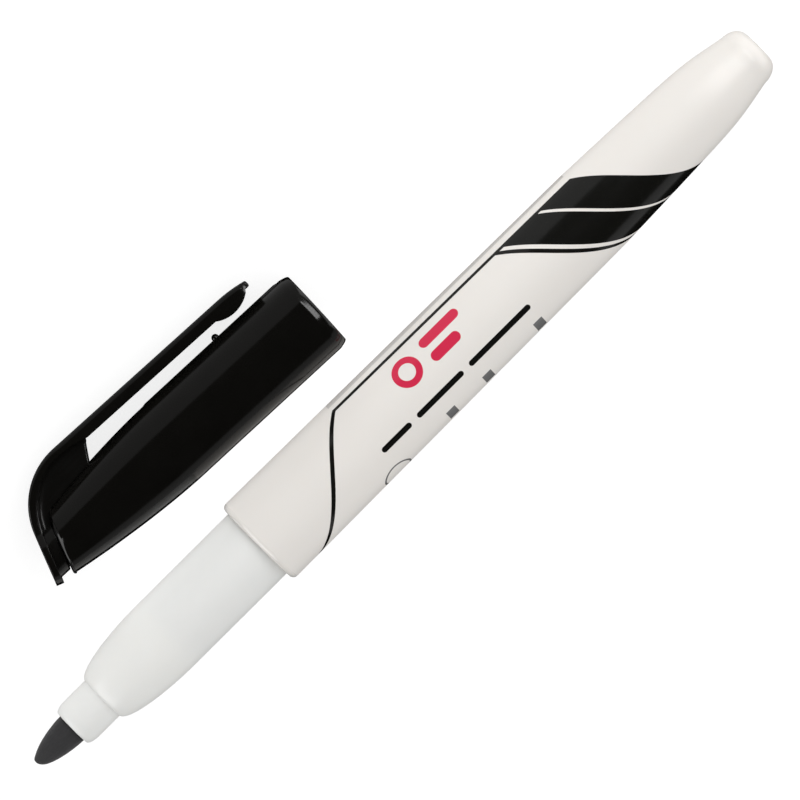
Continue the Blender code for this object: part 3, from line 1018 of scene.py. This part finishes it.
def cap_material(name, smoothest, roughest):
    """Black plastic with fine scratches along the cap, between the two roughnesses."""
    p = Nodes(name)
    cloud = p.noise(260, detail=4)
    scratch = p.noise(3800, detail=4, roughness=0.75, stretch=(0.05, 1, 1))
    marks = p.math("POWER", scratch, 3.0)
    roughness = p.math("MULTIPLY_ADD", marks, 0.22, p.between(cloud, smoothest, roughest))
    return p.set(
        Base_Color=p.mix(cloud, *GLOSSY_BLACK),
        Roughness=roughness,
        Normal=p.bump(p.noise(900, detail=2), 0.006 * MM, 0.5),
        IOR=1.47,
        Specular_IOR_Level=0.26,
    )


def liner_material():
    p = Nodes("liner_plastic")
    return p.set(
        Base_Color=p.mix(p.noise(500, detail=4), *LINER_WHITE),
        Roughness=p.between(p.noise(1500), 0.42, 0.58),
        Normal=p.bump(p.noise(3000), 0.005 * MM, 0.5),
        Subsurface_Weight=0.3,
        Subsurface_Radius=(0.0015, 0.0014, 0.0013),
        Subsurface_Scale=1.0,
    )


def film_material():
    """Creased plastic film."""
    p = Nodes("film")
    crease = p.noise(700, detail=5, stretch=(0.15, 1, 1))
    return p.set(
        Base_Color=p.mix(crease, *FILM_GREY),
        Roughness=p.between(crease, 0.12, 0.3),
        Normal=p.bump(crease, 0.04 * MM, 0.6),
    )


def floor_material():
    p = Nodes("floor_paper")
    grain = p.noise(420, detail=5)
    return p.set(
        Base_Color=p.mix(grain, *FLOOR_GREY),
        Roughness=0.9,
        Normal=p.bump(grain, 0.02 * MM, 0.3),
        Specular_IOR_Level=0.1,
        Emission_Color=(1.0, 1.0, 1.0),
        Emission_Strength=FLOOR_GLOW,
    )


def wear(obj, material, body):
    """Gives a piece its material and slot, and puts it on its body."""
    obj.data.materials.clear()
    obj.data.materials.append(material)
    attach(obj, body)
    return obj


# ---------------------------------------------------------------- camera, lights and floor


def view_axes(out):
    """(along the marker, across the view, towards the camera). The camera faces the clip's side."""
    along = Vector((1, 0, 0))
    flat_out = (out - along * out.dot(along)).normalized()
    towards = along.cross(flat_out)
    return along, flat_out, towards


def make_camera(origin, along, across, towards):
    """A camera that looks squarely at the clip's side. Returns the place it looks at."""
    target = origin + along * VIEW_ALONG + across * VIEW_ACROSS
    right = along * math.cos(VIEW_ROLL) - across * math.sin(VIEW_ROLL)
    up = along * math.sin(VIEW_ROLL) + across * math.cos(VIEW_ROLL)
    data = bpy.data.cameras.new("camera")
    data.sensor_width = SENSOR
    data.lens = SENSOR * VIEW_DISTANCE / VIEW_WIDTH
    data.clip_start = 0.01
    data.clip_end = 10
    camera = bpy.data.objects.new("camera", data)
    turn = Matrix((right, up, towards)).transposed().to_4x4()
    camera.matrix_world = Matrix.Translation(target + towards * VIEW_DISTANCE) @ turn
    bpy.context.scene.collection.objects.link(camera)
    bpy.context.scene.camera = camera
    return target


def soft_light(name, target, direction, wide, distance, size, radiance, lights):
    """A softbox that faces the target, its first size along wide. It lights "matt" or "glossy" only."""
    data = bpy.data.lights.new(name, "AREA")
    data.shape = "RECTANGLE"
    data.size, data.size_y = size
    data.energy = radiance * math.pi * size[0] * size[1]
    light = bpy.data.objects.new(name, data)
    turn = Matrix((wide, direction.cross(wide), direction)).transposed().to_4x4()
    light.matrix_world = Matrix.Translation(target + direction * distance) @ turn
    light.visible_camera = False
    light.visible_glossy = lights == "glossy"
    light.visible_diffuse = lights == "matt"
    bpy.context.scene.collection.objects.link(light)


def make_lights(target, along, across, towards):
    """A weak key beyond the tail, panels that only glossy surfaces mirror, and a bounce card."""

    def leaning(side, degrees):
        """The direction that many degrees from the camera's, towards a side."""
        angle = math.radians(degrees)
        return towards * math.cos(angle) + side * math.sin(angle)

    def panel(name, side, degrees, wide, distance, size, radiance, shift=0.0):
        place = target + across * shift
        soft_light(name, place, leaning(side, degrees), wide, distance, size, radiance, "glossy")

    key_side = (along * KEY_ALONG + across * KEY_ACROSS).normalized()
    key_wide = towards.cross(key_side)
    key_from = leaning(key_side, 43)
    soft_light(
        "key", target, key_from, key_wide, distance=1.0, size=(1.1, 0.5), radiance=2.0, lights="matt"
    )
    panel("clip_gloss", across, 90, along, distance=0.45, size=(1.8, 1.07), radiance=0.4)
    panel("tail_gloss", along, 30, across, distance=1.0, size=(1.12, 0.17), radiance=11.0, shift=0.2)
    panel("tail_low", along, 78, across, distance=1.0, size=(2.6, 0.9), radiance=2.0)
    panel("nib_gloss", -along, 68, across, distance=1.0, size=(1.65, 0.7), radiance=4.6)
    panel("far_gloss", -across, 100, along, distance=0.5, size=(1.8, 0.3), radiance=0.4)
    make_card()


def make_card():
    """A bounce card beside the cap that lights the barrel's side. Glossy surfaces don't mirror it."""
    low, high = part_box("cap_tube")
    middle = Vector(((low.x + high.x) / 2, low.y - CARD_GAP, (low.z + high.z) / 2))
    size = (high.x - low.x, high.z - low.z)
    back, wide = Vector((0, 1, 0)), Vector((1, 0, 0))
    soft_light("card", middle, back, wide, 0.0, size, CARD_RADIANCE, "matt")


def make_dome():
    """Even white light from all round, which glossy surfaces don't mirror."""
    world = bpy.data.worlds.new("studio")
    bpy.context.scene.world = world
    world.use_nodes = True
    background = world.node_tree.nodes["Background"]
    background.inputs["Color"].default_value = (1.0, 1.0, 1.0, 1.0)
    background.inputs["Strength"].default_value = DOME_STRENGTH
    world.cycles_visibility.glossy = False


def make_floor():
    shape = bmesh.new()
    bmesh.ops.create_grid(shape, x_segments=8, y_segments=8, size=FLOOR_HALF)
    floor = finish_mesh("floor", shape, Matrix.Scale(MM, 4))
    floor.data.materials.append(floor_material())
    floor.visible_glossy = False


# ---------------------------------------------------------------- the scene


def main():
    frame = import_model()
    marker = marker_place()
    cap = cap_place(frame["joints"])
    out = (cap.to_3x3() @ Vector((1, 0, 0))).normalized()
    origin = marker.translation
    along, across, towards = view_axes(out)
    facing = math.atan2(towards.z, towards.y)

    barrel_plastic = barrel_material(origin, facing)
    natural = natural_material()
    felt = felt_material("nib_felt", NIB_BLACK)
    ink = felt_material("ink_fibre", INKED_FIBRE)
    black = cap_material("cap_plastic", smoothest=0.09, roughest=0.14)
    satin = cap_material("cap_plastic_satin", smoothest=0.16, roughest=0.20)
    film = film_material()
    liner = liner_material()

    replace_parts(wear(make_barrel(marker), barrel_plastic, "marker"), "barrel")
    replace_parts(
        wear(make_front_section(marker), natural, "marker"), "front_section"
    )
    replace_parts(wear(make_nib(marker), felt, "marker"), "nib")
    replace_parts(wear(make_cap_tube(cap), black, "cap"), "cap_tube")
    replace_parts(wear(make_inner_cap(cap), liner, "cap"), "inner_cap")
    for piece in (make_bead(cap), make_strip(cap)):
        wear(piece, black, "cap")
    for piece in (make_clip_web(cap), make_clip_core(cap)):
        wear(piece, satin, "cap")

    clip = make_clip(cap)
    clip.data.materials.append(black)
    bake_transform(clip)
    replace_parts(clip, "clip_root", "clip_arm")

    for name, material in (("ink_reservoir", ink), ("reservoir_wrap", film)):
        node = frame["nodes"][name]
        node.data.materials.clear()
        node.data.materials.append(material)

    target = make_camera(origin, along, across, towards)
    make_lights(target, along, across, towards)
    make_dome()
    bpy.context.scene.view_settings.view_transform = "Standard"
    make_floor()


main()
